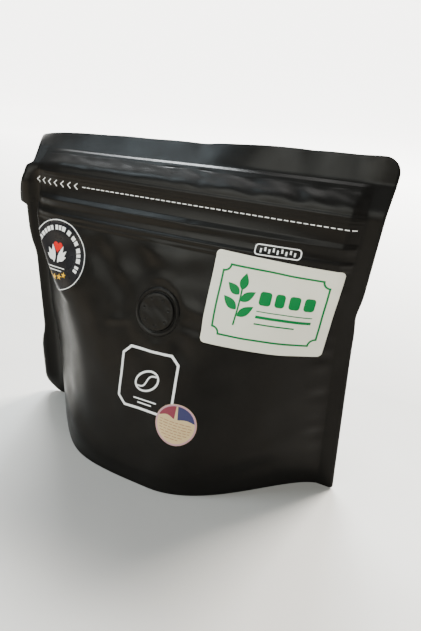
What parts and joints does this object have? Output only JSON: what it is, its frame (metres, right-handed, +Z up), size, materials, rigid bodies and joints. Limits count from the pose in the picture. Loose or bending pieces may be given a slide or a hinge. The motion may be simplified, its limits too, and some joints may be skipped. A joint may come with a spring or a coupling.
{
  "type": "coffee bag",
  "caption": "Filled black stand-up pouch with a sealed header, a zipper with a tear tab, a round valve and stuck-on labels.",
  "frame": {"origin": "middle of the gusset's flat patch on the table, in the plane of the side seals", "axes": "+X to the right across the front panel, +Y towards the back panel, +Z up"},
  "size_m": [0.193, 0.0866, 0.1656],
  "materials": {
    "film": "matt laminated film with a soft sheen",
    "valve_plastic": "satin moulded plastic",
    "round_label": "semi-gloss black label with white, red and yellow print",
    "white_label": "smooth off-white label with green print",
    "small_label": "satin beige label with red and blue print"
  },
  "bodies": {
    "root": {"pouch": "film", "valve": "valve_plastic", "round_sticker": "round_label", "rectangular_label": "white_label", "small_sticker": "small_label"}
  },
  "joints": []
}
